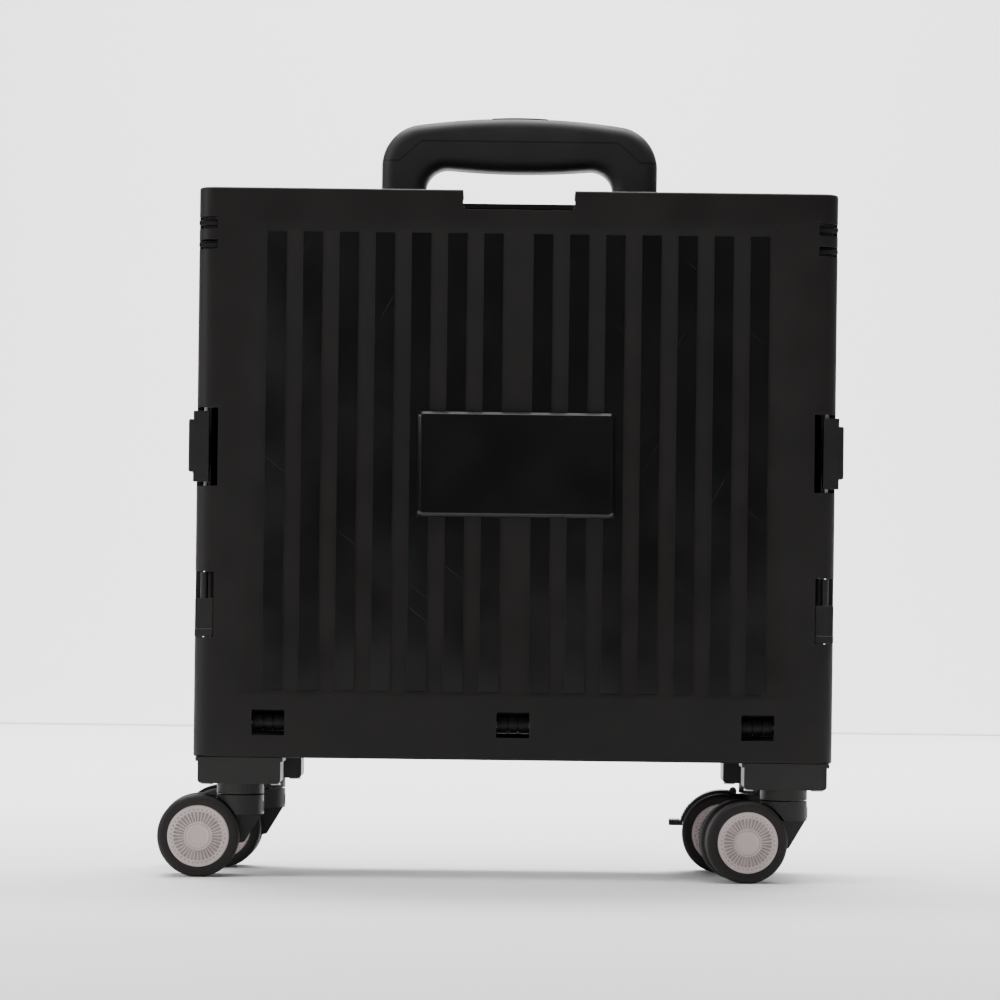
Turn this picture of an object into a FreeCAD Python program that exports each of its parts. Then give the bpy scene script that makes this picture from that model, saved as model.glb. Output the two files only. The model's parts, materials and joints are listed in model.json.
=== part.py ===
"""Folding crate trolley with a telescopic handle and four twin-wheel casters, folded flat.

Millimetres, +Z up. The origin is on the floor, midway between the two panels and the two
sides. The front panel faces -Y and the rear panel, which carries the handle, faces +Y.
"""
import FreeCAD, Part
import math
import os
from FreeCAD import Vector

os.makedirs("parts", exist_ok=True)

# ---- driving dimensions -------------------------------------------------------------
WIDTH = 390.0            # across both panels
PANEL_LOW = 73.0         # underside of the panels
PANEL_TOP = 420.0
PACK_HALF = 52.0         # middle plane to the face of each panel, folded
PANEL_DEPTH = 30.0
SKIN = 3.0               # moulded wall thickness
PANEL_EDGE_R = 10.0      # rounding of the panels' outer vertical edges

FIELD_OUTER = (171.0, 111.0, 401.0)   # half width, low and high edge of the framed field
FIELD_INNER = (154.0, 114.5, 393.5)
FIELD_SINK = 2.0
STRIPE_PITCH = 22.0
STRIPE_WIDTH = 12.0
STRIPE_RISE = 0.5
STRIPES_PER_SIDE = 7
FIRST_STRIPE = 15.1      # middle of the panel to the middle of the first stripe

HINGE_X = 187.0          # corner pivots of the folding walls
HINGE_Y = 8.0
KNUCKLE_R = 5.5
PIN_R = 2.0
RUN = 0.05               # radial clearance of a running fit
UPPER_KNUCKLE = (383.0, 401.0)
LOWER_KNUCKLE = (146.0, 186.0)
LUG_HEIGHT = 8.0
WALL_SPAN = 148.0        # corner pivot to middle pivot of a wall half
WALL_THICK = 6.5
WALL_SKIN = 3.0          # flat outer skin of a wall, under its ribs
WALL_LOW = 86.0
WALL_HIGH = 416.0
MID_KNUCKLE_R = 5.0
MID_KNUCKLES = 4

HANDLE_X = 73.0          # tube axes
HANDLE_Y = 37.0
HANDLE_HALF = 87.0       # outer half width of the handle
HANDLE_DEPTH = 26.0
OUTER_TUBE = (11.0, 10.0)     # outer and inner radius of each telescopic stage
MIDDLE_TUBE = (9.7, 8.7)
INNER_TUBE = (8.4, 7.4)
BUTTON_TRAVEL = 3.0

SWIVEL_FRONT_X = 166.3
SWIVEL_REAR_X = 158.0
SWIVEL_Y = 37.0
TRAIL = 25.0
WHEEL_R = 25.0
RIM_R = 18.8
WHEEL_INNER_Y = 4.2
WHEEL_OUTER_Y = 15.5
STEM_R = 4.0
PEDAL_PIVOT = (-18.0, 51.4)
PEDAL_HALF = 7.0
SHOE_R = 22.5            # underside of the shoe that hangs between the wheels
TAB_REACH = 33.4         # wheel's middle to the tip of the pedal's tab
TAB_LOW = 29.5           # underside of the tab

# name: swivel x, swivel y, heading in degrees about +Z (0 trails towards -X), has a brake
CASTERS = {
    "front_left": (-SWIVEL_FRONT_X, -SWIVEL_Y, 3.0, False),
    "front_right": (SWIVEL_FRONT_X, -SWIVEL_Y, 8.0, False),
    "rear_left": (-SWIVEL_REAR_X, SWIVEL_Y, 0.0, True),
    "rear_right": (SWIVEL_REAR_X, SWIVEL_Y, -3.0, True),
}

X_AXIS = Vector(1, 0, 0)
Y_AXIS = Vector(0, 1, 0)
Z_AXIS = Vector(0, 0, 1)
SIDES = (-1, 1)


# ---- helpers ------------------------------------------------------------------------
def box(x0, x1, y0, y1, z0, z1):
    """A block between two opposite corners, given in either order along each axis."""
    low = Vector(min(x0, x1), min(y0, y1), min(z0, z1))
    return Part.makeBox(abs(x1 - x0), abs(y1 - y0), abs(z1 - z0), low)


def rod(radius, x, y, z0, z1):
    """An upright cylinder."""
    return Part.makeCylinder(radius, z1 - z0, Vector(x, y, z0), Z_AXIS)


def bar_x(radius, x0, x1, y, z):
    """A cylinder along X."""
    return Part.makeCylinder(radius, x1 - x0, Vector(x0, y, z), X_AXIS)


def bar_y(radius, x, y0, y1, z):
    """A cylinder along Y."""
    return Part.makeCylinder(radius, y1 - y0, Vector(x, y0, z), Y_AXIS)


def pipe(radii, x, y, z0, z1):
    """An upright tube of (outer, inner) radius."""
    return rod(radii[0], x, y, z0, z1).cut(rod(radii[1], x, y, z0 - 1, z1 + 1))


def fuse(first, *others):
    """One clean solid from several that touch."""
    return first.fuse(list(others)).removeSplitter() if others else first


def edges_where(shape, test):
    """The straight or curved edges whose middle point and direction pass a test."""
    chosen = []
    for edge in shape.Edges:
        middle = edge.CenterOfMass
        ends = edge.Vertexes
        along = ends[-1].Point.sub(ends[0].Point)
        if along.Length > 1e-6:
            along.normalize()
        if test(middle, along):
            chosen.append(edge)
    return chosen


def outline_y(points_and_arcs, y0, y1):
    """Extrude a closed outline in the XZ plane from y0 to y1.

    Each item is a point (x, z), or a pair of points (via, end) for an arc.
    """
    edges = []
    start = Vector(points_and_arcs[0][0], y0, points_and_arcs[0][1])
    here = start
    for item in points_and_arcs[1:]:
        if isinstance(item[0], tuple):
            via = Vector(item[0][0], y0, item[0][1])
            end = Vector(item[1][0], y0, item[1][1])
            edges.append(Part.Arc(here, via, end).toShape())
        else:
            end = Vector(item[0], y0, item[1])
            edges.append(Part.LineSegment(here, end).toShape())
        here = end
    if here.sub(start).Length > 1e-6:
        edges.append(Part.LineSegment(here, start).toShape())
    return Part.Face(Part.Wire(edges)).extrude(Vector(0, y1 - y0, 0))


def screw_up(x, y, z_head, length, head_r, shank_r):
    """A pan-head screw driven upwards, with a cross recess."""
    head = rod(head_r, x, y, z_head, z_head + 1.2)
    shank = rod(shank_r, x, y, z_head + 1.2, z_head + length)
    recess = [
        box(x - head_r * 0.6, x + head_r * 0.6, y - 0.4, y + 0.4, z_head - 1, z_head + 0.6),
        box(x - 0.4, x + 0.4, y - head_r * 0.6, y + head_r * 0.6, z_head - 1, z_head + 0.6),
    ]
    return fuse(head, shank).cut(recess)


def screw_in(x, y_head, z, direction, length, head_r, shank_r):
    """A pan-head screw driven along Y; direction is +1 or -1, from the head to the tip."""
    screw = screw_up(0, 0, 0, length, head_r, shank_r)
    screw.rotate(Vector(0, 0, 0), X_AXIS, -90 * direction)
    screw.translate(Vector(x, y_head, z))
    return screw


def save(name, *solids):
    """Write one node; several solids make a group."""
    shape = solids[0] if len(solids) == 1 else Part.makeCompound(list(solids))
    shape.exportStep("parts/%s.step" % name)


def half_turn(shape):
    """Carry a shape from the front panel's side to the rear panel's side."""
    turned = shape.copy()
    turned.rotate(Vector(0, 0, 0), Z_AXIS, 180)
    return turned


# ---- the two panels -----------------------------------------------------------------
def panel_blank():
    """The tray-shaped moulding that both panels share, in the front panel's place."""
    half = WIDTH / 2
    back = -PACK_HALF + PANEL_DEPTH
    outer = box(-half, half, -PACK_HALF, back, PANEL_LOW, PANEL_TOP)
    corners = edges_where(outer, lambda m, a: abs(a.z) > 0.9 and m.y < back - 1)
    outer = outer.makeFillet(PANEL_EDGE_R, corners)
    rims = edges_where(outer, lambda m, a: abs(m.y + PACK_HALF) < 0.1 and abs(a.x) > 0.9)
    outer = outer.makeFillet(1.5, rims)
    cavity = box(-half + SKIN, half - SKIN, -PACK_HALF + SKIN, back + 1,
                 PANEL_LOW + SKIN, PANEL_TOP - SKIN)
    inner_corners = edges_where(cavity, lambda m, a: abs(a.z) > 0.9 and m.y < back)
    cavity = cavity.makeFillet(PANEL_EDGE_R - SKIN, inner_corners)
    shell = outer.cut(cavity)
    wide, low, high = FIELD_OUTER
    backing = box(-wide - 2, wide + 2, -PACK_HALF + SKIN - 0.5, -PACK_HALF + SKIN + 2.5,
                  low - 2, high + 2)
    shell = fuse(shell, backing)
    inner_wide, inner_low, inner_high = FIELD_INNER
    field = Part.makeWedge(-wide, -PACK_HALF - 0.001, low, inner_low, -inner_wide,
                           wide, -PACK_HALF + FIELD_SINK, high, inner_high, inner_wide)
    shell = shell.cut(field)
    floor = -PACK_HALF + FIELD_SINK
    for side in SIDES:
        for number in range(STRIPES_PER_SIDE):
            middle = side * (FIRST_STRIPE + number * STRIPE_PITCH)
            stripe = box(middle - STRIPE_WIDTH / 2, middle + STRIPE_WIDTH / 2,
                         floor - STRIPE_RISE, floor + 0.5, inner_low, inner_high)
            shell = shell.fuse(stripe)
    lugs = []
    bores = []
    for side in SIDES:
        for low_z, high_z in (UPPER_KNUCKLE, LOWER_KNUCKLE):
            for z0 in (low_z - 0.4 - LUG_HEIGHT, high_z + 0.4):
                lugs.append(corner_lug(side, z0, z0 + LUG_HEIGHT))
            bores.append(rod(PIN_R + 0.02, side * HINGE_X, -HINGE_Y,
                             low_z - LUG_HEIGHT - 2, high_z + LUG_HEIGHT + 2))
    return fuse(shell, *lugs).cut(bores), outer


def corner_lug(side, z0, z1):
    """One hinge ear that reaches back from a panel to a corner pivot."""
    x = side * HINGE_X
    web = box(x - KNUCKLE_R, x + KNUCKLE_R, -HINGE_Y, -PACK_HALF + PANEL_DEPTH - 8, z0, z1)
    return fuse(web, rod(KNUCKLE_R, x, -HINGE_Y, z0, z1))


def corner_pins():
    """Four steel pins for one panel's corner hinges, in the front panel's place."""
    pins = []
    for side in SIDES:
        for low_z, high_z in (UPPER_KNUCKLE, LOWER_KNUCKLE):
            pins.append(rod(PIN_R, side * HINGE_X, -HINGE_Y,
                            low_z - LUG_HEIGHT, high_z + LUG_HEIGHT))
    return pins


NOTCH_HALF = 34.0        # finger notch in the front panel's top edge
NOTCH_LOW = 408.0
BASE_SLOTS = (-149.0, 0.0, 149.0)
BASE_SLOT = (20.0, 15.6)              # width and height
BASE_AXIS = (-40.0, 94.5)             # y and z of the floor plate's hinge
LATCH_NOTCH = (181.5, 238.0, 286.0)   # inner x, low and high edge
LATCH_PIVOT = (189.0, -46.0)
LATCH_PIN_R = 1.5
LABEL = (60.0, 221.0, 285.0)          # half width, low and high edge
HINGE_POCKET_X = 183.0
UPPER_POCKETS = ((382.0, 388.0), (394.5, 402.0))
LOWER_POCKET = (146.0, 186.0)
LOWER_LEDGE = 169.5


def front_panel():
    """The front moulding with its notch, hinge pockets, latch notches and floor slots."""
    shell, outer = panel_blank()
    front = -PACK_HALF
    notch = box(-NOTCH_HALF, NOTCH_HALF, front - 1, front + PANEL_DEPTH + 1,
                NOTCH_LOW, PANEL_TOP + 1)
    notch_corners = edges_where(
        notch, lambda m, a: abs(a.y) > 0.9 and m.z < PANEL_TOP)
    shell = shell.cut(notch.makeFillet(3.0, notch_corners))
    bosses = []
    cuts = []
    for x in BASE_SLOTS:
        cuts.append(box(x - BASE_SLOT[0] / 2, x + BASE_SLOT[0] / 2, front - 1, front + 9,
                        BASE_AXIS[1] - BASE_SLOT[1] / 2, BASE_AXIS[1] + BASE_SLOT[1] / 2))
        for side in SIDES:
            bosses.append(box(x + side * 12, x + side * 16, front + SKIN - 0.5, -36,
                              BASE_AXIS[1] - 6, BASE_AXIS[1] + 6))
    bore = bar_x(PIN_R + 0.02, -172, 172, BASE_AXIS[0], BASE_AXIS[1])
    inner_x, latch_low, latch_high = LATCH_NOTCH
    for side in SIDES:
        for z0, z1 in ((latch_low - 7, latch_low), (latch_high, latch_high + 7)):
            block = box(side * inner_x, side * 196, front - 1, -41, z0, z1)
            bosses.append(block.common(outer))
        cuts.append(box(side * inner_x, side * 200, front - 1, -41.5, latch_low, latch_high))
        cuts.append(rod(LATCH_PIN_R + 0.02, side * LATCH_PIVOT[0], LATCH_PIVOT[1],
                        latch_low - 5, latch_high + 5))
        for z0, z1 in UPPER_POCKETS:
            cuts.append(box(side * HINGE_POCKET_X, side * 200, front - 1, -40, z0, z1))
        cuts.append(box(side * HINGE_POCKET_X, side * 200, front - 1, -40, *LOWER_POCKET))
    half, label_low, label_high = LABEL
    cuts.append(box(-half - 0.2, half + 0.2, front - 1, front + FIELD_SINK,
                    label_low - 0.2, label_high + 0.2))
    return fuse(shell, *bosses).cut(cuts).cut(bore)


def label_plate():
    """The blank raised plate in the middle of the field, with a bevelled rim."""
    half, low, high = LABEL
    back = -PACK_HALF + FIELD_SINK
    plate = box(-half, half, back - 4.0, back, low, high)
    upright = edges_where(plate, lambda m, a: abs(a.y) > 0.9)
    plate = plate.makeFillet(3.5, upright)
    rim = edges_where(plate, lambda m, a: m.y < back - 3.9)
    return plate.makeChamfer(1.8, rim)


def corner_hinge_clips():
    """The dark clips that fill the hinge pockets at the front panel's corners."""
    clips = []
    front = -PACK_HALF
    for side in SIDES:
        low = UPPER_POCKETS[0][0] + 0.3
        high = UPPER_POCKETS[1][1] - 0.3
        body = box(side * (HINGE_POCKET_X + 0.3), side * 191.6, -46.6, -40.4, low, high)
        body = body.cut(box(side * 180, side * 200, -60, -43,
                            UPPER_POCKETS[0][1] - 0.3, UPPER_POCKETS[1][0] + 0.3))
        for z0, z1 in UPPER_POCKETS:
            middle = (z0 + z1) / 2
            tongue = box(side * (HINGE_POCKET_X + 0.3), side * 194.6, front + 3.4, -42,
                         middle - 1.4, middle + 1.4)
            body = body.fuse(tongue)
        clips.append(body.removeSplitter())
        block = box(side * (HINGE_POCKET_X + 0.3), side * 194.4, front + 2.5, -40.4,
                    LOWER_POCKET[0] + 0.3, LOWER_LEDGE)
        ledge = box(side * (HINGE_POCKET_X + 0.3), side * 194.4, front + 1.4, -44,
                    LOWER_POCKET[0] + 0.3, LOWER_POCKET[0] + 5)
        post = rod(2.4, side * 189, front + 5.5, LOWER_LEDGE - 1, LOWER_POCKET[1] - 0.3)
        clips.append(fuse(block, ledge, post))
    return clips


PLATE_HALF = 172.0
PLATE_Y = (-36.5, -30.0)
PLATE_Z = (104.0, 405.0)


def base_plate():
    """The crate's floor, folded up inside the front panel on three barrel hinges."""
    y0, y1 = PLATE_Y
    z0, z1 = PLATE_Z
    plate = box(-PLATE_HALF, PLATE_HALF, y0, y1, z0, z1)
    columns = 6
    rows = 5
    pitch_x = (2 * PLATE_HALF - 6) / columns
    pitch_z = (z1 - z0 - 6) / rows
    pockets = []
    for column in range(columns):
        for row in range(rows):
            x = -PLATE_HALF + 3 + column * pitch_x
            z = z0 + 3 + row * pitch_z
            pockets.append(box(x + 1.5, x + pitch_x - 1.5, y0 - 1, y1 - SKIN,
                               z + 1.5, z + pitch_z - 1.5))
    plate = plate.cut(pockets)
    axis_y, axis_z = BASE_AXIS
    arms = []
    for x in BASE_SLOTS:
        arms.append(box(x - 9.5, x + 9.5, y0, y1, axis_z - 4, z0 + 4))
        barrel = bar_x(5.5, x - 9.5, x + 9.5, axis_y, axis_z)
        for offset in (-3.0, 3.0):
            groove = bar_x(7.0, x + offset - 0.6, x + offset + 0.6, axis_y, axis_z)
            barrel = barrel.cut(groove.cut(bar_x(4.6, x - 10, x + 10, axis_y, axis_z)))
        arms.append(barrel)
    bore = bar_x(PIN_R + RUN, -180, 180, axis_y, axis_z)
    return fuse(plate, *arms).cut(bore)


COVER_FACE = PACK_HALF - PANEL_DEPTH + 0.2
COVER_THICK = 2.6
COVER_SCREWS = [(x, z) for x in (-170.0, -52.0, 52.0, 170.0) for z in (107.5, 409.5)]
COVER_SCREW_R = 1.4


def rear_panel():
    """The rear moulding, with saddles and top holes for the tubes and bosses for the cover."""
    shell = half_turn(panel_blank()[0])
    saddles = []
    holes = []
    back = COVER_FACE + COVER_THICK
    for x, z in COVER_SCREWS:
        saddles.append(bar_y(3.6, x, back + 0.05, PACK_HALF - SKIN + 0.5, z))
        holes.append(bar_y(COVER_SCREW_R + 0.02, x, back, back + 4.0, z))
    for side in SIDES:
        x = side * HANDLE_X
        for z0 in (76.0, 244.0, 400.0):
            saddles.append(box(x - 14, x + 14, 25.2, PACK_HALF - SKIN + 0.5, z0, z0 + 8))
        holes.append(rod(OUTER_TUBE[0] + 0.02, x, HANDLE_Y, 78, 410))
        holes.append(rod(12.05, x, HANDLE_Y, 413.5, PANEL_TOP + 1))
    return fuse(shell, *saddles).cut(holes)


def tube_cover():
    """The inner face of the rear panel, with the ledge that carries the floor plate."""
    face = COVER_FACE
    cover = box(-179, 179, face, face + COVER_THICK, 77, 415)
    frames = []
    for z0, z1 in ((112, 205), (213, 306), (314, 404)):
        for column in range(4):
            x = -164 + column * 83
            frames.append(box(x, x + 79, face - 1, face + 0.9, z0, z1))
    holes = [bar_y(COVER_SCREW_R + RUN, x, face - 1, face + 4, z) for x, z in COVER_SCREWS]
    cover = cover.cut(frames + holes)
    ledge = box(-150, 150, 11.6, face + 1, 77, 83)
    return fuse(cover, ledge)


def cover_screws():
    """Eight screws that hold the inner cover to the rear panel's bosses."""
    return [screw_in(x, COVER_FACE - 1.2, z, 1, 6.0, 3.0, COVER_SCREW_R)
            for x, z in COVER_SCREWS]


# ---- the folding side walls ---------------------------------------------------------
def wall_half(side, rear, open_pivot):
    """One half of a side wall: rear half against +Y, front half against -Y, folded."""
    sign = 1 if rear else -1
    corner_x = side * HINGE_X
    mid_x = side * (HINGE_X - WALL_SPAN)
    near = sign * 0.5
    far = sign * (0.5 + WALL_THICK)
    corner_end = side * (HINGE_X - KNUCKLE_R - 0.5)
    mid_end = mid_x + side * (MID_KNUCKLE_R + 0.5)
    plate = box(corner_end, mid_end, near, far, WALL_LOW, WALL_HIGH)
    pockets = []
    rows = 5
    pitch = (WALL_HIGH - WALL_LOW - 5) / rows
    for column in range(2):
        for row in range(rows):
            inner = mid_end + side * (3 + column * 64.5)
            z = WALL_LOW + 2.5 + row * pitch
            pockets.append(box(inner + side * 1.2, inner + side * 63.3,
                               near + sign * WALL_SKIN, far + sign, z + 1.2, z + pitch - 1.2))
    plate = plate.cut(pockets)
    pieces = []
    bores = []
    pivot_y = sign * HINGE_Y
    play = 0.3 if open_pivot else RUN
    for z0, z1 in (UPPER_KNUCKLE, LOWER_KNUCKLE):
        pieces.append(rod(KNUCKLE_R, corner_x, pivot_y, z0, z1))
        pieces.append(box(corner_x, corner_end - side * 2, near, far, z0, z1))
        bores.append(rod(PIN_R + play, corner_x, pivot_y, z0 - 1, z1 + 1))
    segment = (WALL_HIGH - WALL_LOW) / MID_KNUCKLES
    for number in range(MID_KNUCKLES):
        if (number % 2 == 0) == rear:
            z0 = WALL_LOW + number * segment + 0.3
            z1 = z0 + segment - 0.6
            pieces.append(rod(MID_KNUCKLE_R, mid_x, 0, z0, z1))
            pieces.append(box(mid_x, mid_end + side * 2, near, near + sign * 4.5, z0, z1))
    bores.append(rod(PIN_R + RUN, mid_x, 0, WALL_LOW - 1, WALL_HIGH + 1))
    return fuse(plate, *pieces).cut(bores)


# ---- side latches -------------------------------------------------------------------
def latch(side):
    """A corner clip with an outer pad and a strap that reaches over the rear panel."""
    x = side * LATCH_PIVOT[0]
    y = LATCH_PIVOT[1]
    clip = box(side * 187.0, side * 196.4, -PACK_HALF + 0.2, -43.9, 240.5, 283.5)
    pad = box(side * 195.4, side * 199.4, -PACK_HALF + 0.6, -30, 246.5, 278.5)
    pad_edges = edges_where(pad, lambda m, a: abs(m.x) > 199.3)
    pad = pad.makeFillet(1.2, pad_edges)
    strap = box(side * 195.4, side * 198.0, -32, 34, 250.0, 275.0)
    tip = box(side * 195.4, side * 198.8, 28, 34, 252.0, 273.0)
    return fuse(clip, pad, strap, tip).cut(rod(LATCH_PIN_R + RUN, x, y, 230, 300))


def latch_pins():
    """The two upright pins that the latches turn on."""
    return [rod(LATCH_PIN_R, side * LATCH_PIVOT[0], LATCH_PIVOT[1],
                LATCH_NOTCH[1] - 4.5, LATCH_NOTCH[2] + 4.5) for side in SIDES]


# ---- telescopic handle --------------------------------------------------------------
BEZEL_TOP = 423.0
COLLAR_TOP = 428.0
HANDLE_LOW = 428.3
LOCK_Z = 104.0
HANDLE_TOP = 475.0
CROWN_R = 450.0
CORNER_R = 27.0
HANDLE_EDGE_R = 8.0
GRIP_UNDER = 440.7
UNDER_R = 500.0
LEG_INNER = 59.0
INNER_R = 14.0


def tube_bezel(x):
    """The collar in the rear panel's top that guides the middle tube."""
    bezel = fuse(rod(14.0, x, HANDLE_Y, PANEL_TOP, BEZEL_TOP), rod(12.0, x, HANDLE_Y, 414, PANEL_TOP))
    rim = edges_where(bezel, lambda m, a: m.z > BEZEL_TOP - 0.1)
    bezel = bezel.makeFillet(1.2, rim)
    socket = rod(OUTER_TUBE[0] + 0.05, x, HANDLE_Y, 413, 417.8)
    return bezel.cut(socket).cut(rod(MIDDLE_TUBE[0] + 0.15, x, HANDLE_Y, 413, 430))


def middle_collar(x):
    """The ring on top of the middle tube that guides the inner tube."""
    ring = rod(12.0, x, HANDLE_Y, BEZEL_TOP + 0.3, COLLAR_TOP)
    socket = rod(MIDDLE_TUBE[0] + 0.02, x, HANDLE_Y, BEZEL_TOP, 426.6)
    return ring.cut(socket).cut(rod(INNER_TUBE[0] + 0.15, x, HANDLE_Y, 420, 430))


def middle_tube(side):
    """The middle stage, with the hole that the lock pin enters when it is drawn out."""
    x = side * HANDLE_X
    tube = pipe(MIDDLE_TUBE, x, HANDLE_Y, 84, 426.5)
    hole = bar_x(2.3, min(x, x + side * 12), max(x, x + side * 12), HANDLE_Y, LOCK_Z + 270)
    return tube.cut(hole)


def inner_tube(side):
    """The inner stage, with a window for its lock pin."""
    x = side * HANDLE_X
    tube = pipe(INNER_TUBE, x, HANDLE_Y, 90, 447)
    window = bar_x(2.2, min(x, x + side * 12), max(x, x + side * 12), HANDLE_Y, LOCK_Z)
    return tube.cut(window)


def lock_housing(side):
    """The plug in the inner tube's foot that guides the lock pin."""
    x = side * HANDLE_X
    plug = rod(INNER_TUBE[1] - 0.05, x, HANDLE_Y, 92, 116)
    cross = bar_x(2.0 + RUN, min(x, x + side * 10), max(x, x + side * 10), HANDLE_Y, LOCK_Z)
    return plug.cut(cross).cut(rod(2.6, x, HANDLE_Y, 106, 117))


def lock_pin(side):
    """The sprung pin that holds the inner stage in the middle stage."""
    x0 = side * (HANDLE_X + 2.6)
    x1 = side * (HANDLE_X + 8.35)
    pin = bar_x(2.0, min(x0, x1), max(x0, x1), HANDLE_Y, LOCK_Z)
    return pin


def handle_solid():
    """The handle's full outer form before it is split into two shells.

    The crown is a wide arc that runs smoothly into a corner arc on each side, and the grip's
    underside is another that runs smoothly into the two inner corners.
    """
    low = HANDLE_LOW
    corner_x = HANDLE_HALF - CORNER_R
    crown_z = HANDLE_TOP - CROWN_R
    corner_z = crown_z + math.sqrt((CROWN_R - CORNER_R) ** 2 - corner_x ** 2)
    lean = math.atan2(corner_x, corner_z - crown_z)
    join = (corner_x + CORNER_R * math.sin(lean), corner_z + CORNER_R * math.cos(lean))
    middle = math.pi / 4 + lean / 2
    outer_via = (corner_x + CORNER_R * math.sin(middle), corner_z + CORNER_R * math.cos(middle))
    inner_x = LEG_INNER - INNER_R
    under_z = GRIP_UNDER + UNDER_R
    inner_z = under_z - math.sqrt((UNDER_R + INNER_R) ** 2 - inner_x ** 2)
    tilt = math.atan2(inner_x, under_z - inner_z)
    inner_join = (inner_x - INNER_R * math.sin(tilt), inner_z + INNER_R * math.cos(tilt))
    inner_via = (inner_x + INNER_R * math.sin(math.pi / 4), inner_z + INNER_R * math.cos(math.pi / 4))
    outline = [
        (LEG_INNER, low),
        (HANDLE_HALF, low),
        (HANDLE_HALF, corner_z),
        (outer_via, join),
        ((0, HANDLE_TOP), (-join[0], join[1])),
        ((-outer_via[0], outer_via[1]), (-HANDLE_HALF, corner_z)),
        (-HANDLE_HALF, low),
        (-LEG_INNER, low),
        (-LEG_INNER, inner_z),
        ((-inner_via[0], inner_via[1]), (-inner_join[0], inner_join[1])),
        ((0, GRIP_UNDER), inner_join),
        (inner_via, (LEG_INNER, inner_z)),
    ]
    front = HANDLE_Y - HANDLE_DEPTH / 2
    solid = outline_y(outline, front, front + HANDLE_DEPTH)
    rims = edges_where(
        solid, lambda m, a: abs(abs(m.y - HANDLE_Y) - HANDLE_DEPTH / 2) < 0.1 and m.z > low + 1)
    return solid.makeFillet(HANDLE_EDGE_R, rims)


def handle_seam():
    """Everything above the seam between the handle's two shells."""
    return outline_y([(-100, 447), (-76, 447), (-62, 459.5), (62, 459.5), (76, 447), (100, 447),
                      (100, 490), (-100, 490)], 0, 80)


def handle_shells():
    """The upper and lower shell, hollowed for the release bar, spring and button."""
    solid = handle_solid()
    cavity = box(-79, 79, HANDLE_Y - 4, HANDLE_Y + 4, 449.2, 458)
    well = box(-18.8, 18.8, HANDLE_Y - 8.3, HANDLE_Y + 8.3, 457.5, 490)
    spring_seat = rod(4.4, 0, HANDLE_Y, 445.5, 450)
    cuts = [cavity, well, spring_seat]
    for side in SIDES:
        cuts.append(rod(INNER_TUBE[0] + 0.02, side * HANDLE_X, HANDLE_Y, 420, 447.05))
        cuts.append(rod(INNER_TUBE[1], side * HANDLE_X, HANDLE_Y, 440, 450))
    for x, z in HANDLE_SCREWS:
        cuts.append(bar_y(3.1, x, HANDLE_Y + 11.2, HANDLE_Y + 14, z))
        cuts.append(bar_y(1.5, x, HANDLE_Y + 8.5, HANDLE_Y + 14, z))
    hollow = solid.cut(cuts)
    seam = handle_seam()
    return hollow.common(seam), hollow.cut(seam)


HANDLE_SCREWS = ((-73.0, 436.0), (73.0, 436.0), (-34.0, 451.0), (34.0, 451.0))


def handle_screws():
    """Four screws in the back of the handle's lower shell."""
    return [screw_in(x, HANDLE_Y + 12.6, z, -1, 4.0, 3.0, 1.45) for x, z in HANDLE_SCREWS]


def push_button():
    """The release button in the top of the grip."""
    body = outline_y([(-18.4, 462), (18.4, 462), (18.4, 474.7), ((0, 475.3), (-18.4, 474.7))],
                     HANDLE_Y - 8, HANDLE_Y + 8)
    upright = edges_where(body, lambda m, a: abs(a.z) > 0.9)
    return body.makeFillet(3.0, upright)


def release_yoke():
    """The bar under the button and the two rods that reach the lock pins."""
    bar = box(-76, 76, HANDLE_Y - 3, HANDLE_Y + 3, 453, 457)
    post = box(-6, 6, HANDLE_Y - 3, HANDLE_Y + 3, 457, 462)
    rods = [rod(1.5, side * HANDLE_X, HANDLE_Y, 110.5, 454) for side in SIDES]
    return fuse(bar, post, *rods)


def button_spring():
    """The coil spring that lifts the release bar, wound as half turns that meet end to end.

    Each half turn is a semicircle in a plane tilted by a quarter pitch over the coil's radius.
    """
    wire_r = 0.35
    coil_r = 3.2
    half_turns = 7
    quarter_pitch = 0.457
    low = 445.5 + wire_r + 0.1
    turns = []
    for number in range(half_turns):
        side = 1 if number % 2 == 0 else -1
        z = low + 2 * quarter_pitch * number
        start = Vector(side * coil_r, HANDLE_Y, z)
        section = Part.Face(Part.Wire(Part.makeCircle(wire_r, start, Y_AXIS)))
        centre = Vector(0, HANDLE_Y, z + quarter_pitch)
        axis = Vector(side * quarter_pitch, 0, coil_r)
        turns.append(section.revolve(centre, axis, 180))
    return fuse(*turns)


# ---- casters ------------------------------------------------------------------------
def place(shape, caster):
    """Carry a shape from the caster's own frame, trailing towards -X, to its place."""
    x, y, heading, _ = CASTERS[caster]
    moved = shape.copy()
    moved.rotate(Vector(0, 0, 0), Z_AXIS, heading)
    moved.translate(Vector(x, y, 0))
    return moved


def caster_block(x, y):
    """The block under a panel, with its round neck and the bore for the stem."""
    block = box(x - 25.2, x + 25.2, y - 14.4, y + 14.4, 57, 71)
    lower = edges_where(block, lambda m, a: abs(a.y) > 0.9 and m.z < 58)
    block = block.makeFillet(2.5, lower)
    flange = box(x - 26.6, x + 26.6, y - 14.6, y + 14.6, 70.5, 73)
    neck = rod(14.4, x, y, 50.6, 60)
    block = fuse(block, flange, neck)
    holes = [rod(STEM_R + RUN, x, y, 50, 72)]
    for side in SIDES:
        holes.append(rod(1.9, x + side * 20.5, y, 56, 70.5))
    return block.cut(holes)


def block_screws(x, y):
    """The two screws that hold a block to its panel."""
    return [screw_up(x + side * 20.5, y, 55.8, 14.0, 3.8, 1.85) for side in SIDES]


def wheel_clearance(extra):
    """The space of the two wheels, grown a little, in the caster's own frame."""
    solid = bar_y(WHEEL_R + extra, -TRAIL, -20, 20, WHEEL_R)
    return solid.cut(box(-70, 30, -WHEEL_INNER_Y + 0.6, WHEEL_INNER_Y - 0.6, -10, 70))


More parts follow.
